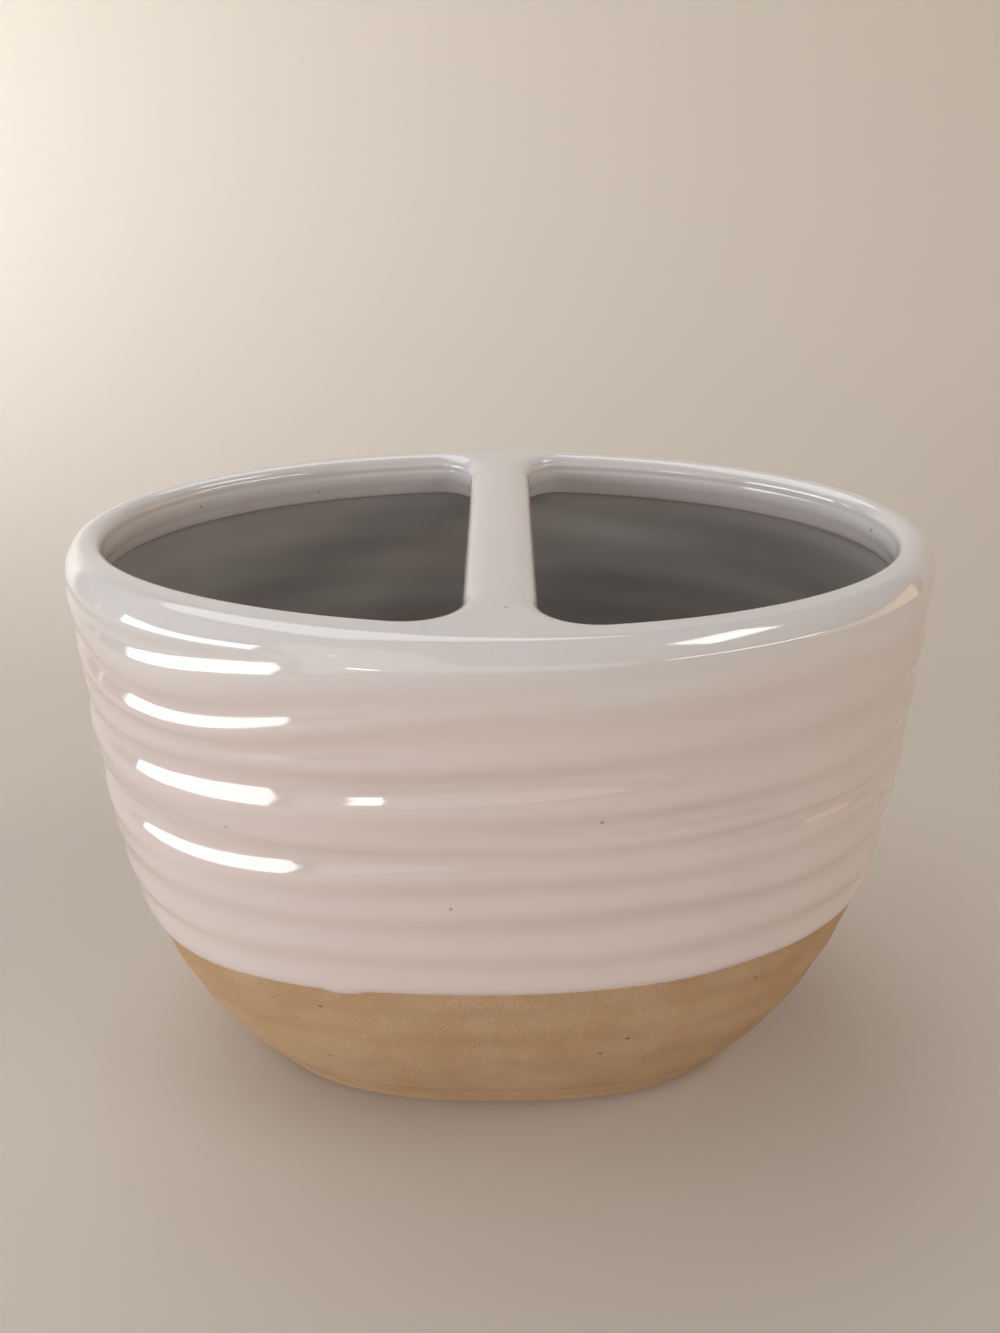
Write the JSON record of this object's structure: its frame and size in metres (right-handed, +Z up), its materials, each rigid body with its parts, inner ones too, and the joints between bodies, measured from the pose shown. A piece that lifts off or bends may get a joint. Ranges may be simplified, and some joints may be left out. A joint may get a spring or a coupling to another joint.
{
  "type": "toothbrush holder",
  "caption": "Oval stoneware toothbrush holder with finger-ringed sides, a thick lip, a divider bar across its mouth and a cream glaze over a bare clay foot.",
  "frame": {"origin": "middle of the flat underside of the base, on the surface the holder stands on", "axes": "+Z up through the mouth, +X along the long side of the oval, +Y to the back along the divider bar"},
  "size_m": [0.121, 0.0756, 0.087],
  "materials": {
    "bare_clay": "matt bare stoneware with fine grit and iron specks",
    "cream_glaze": "glossy pinkish cream glaze with a few dark specks"
  },
  "bodies": {
    "root": {"base_slab": "bare_clay", "body_wall": "bare_clay", "rim_lip": "bare_clay", "divider_bar": "bare_clay", "outer_glaze": "cream_glaze", "lip_glaze": "cream_glaze", "bar_glaze": "cream_glaze", "liner_glaze": "cream_glaze"}
  },
  "joints": []
}
